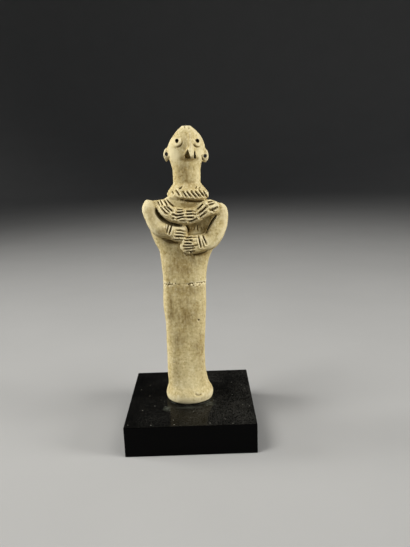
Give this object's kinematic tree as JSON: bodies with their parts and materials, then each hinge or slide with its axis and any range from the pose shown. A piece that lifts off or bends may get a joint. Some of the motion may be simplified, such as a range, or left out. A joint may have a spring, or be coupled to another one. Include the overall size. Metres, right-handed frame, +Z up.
{
  "type": "terracotta votive statuette",
  "caption": "Hand-modelled clay pillar figure with arms laid on its chest, a high collar, a thick necklace and a beak-like nose, standing on a low glossy black square block.",
  "frame": {"origin": "centre of the display block's underside", "axes": "+Z up, the figure faces -Y, +X is towards the right of someone who faces it"},
  "size_m": [0.07, 0.07, 0.1689],
  "materials": {
    "fired_clay": "unglazed buff clay, worn and stained",
    "black_acrylic": "polished, with dust"
  },
  "bodies": {
    "root": {"statuette": "fired_clay", "display_base": "black_acrylic"}
  },
  "joints": []
}
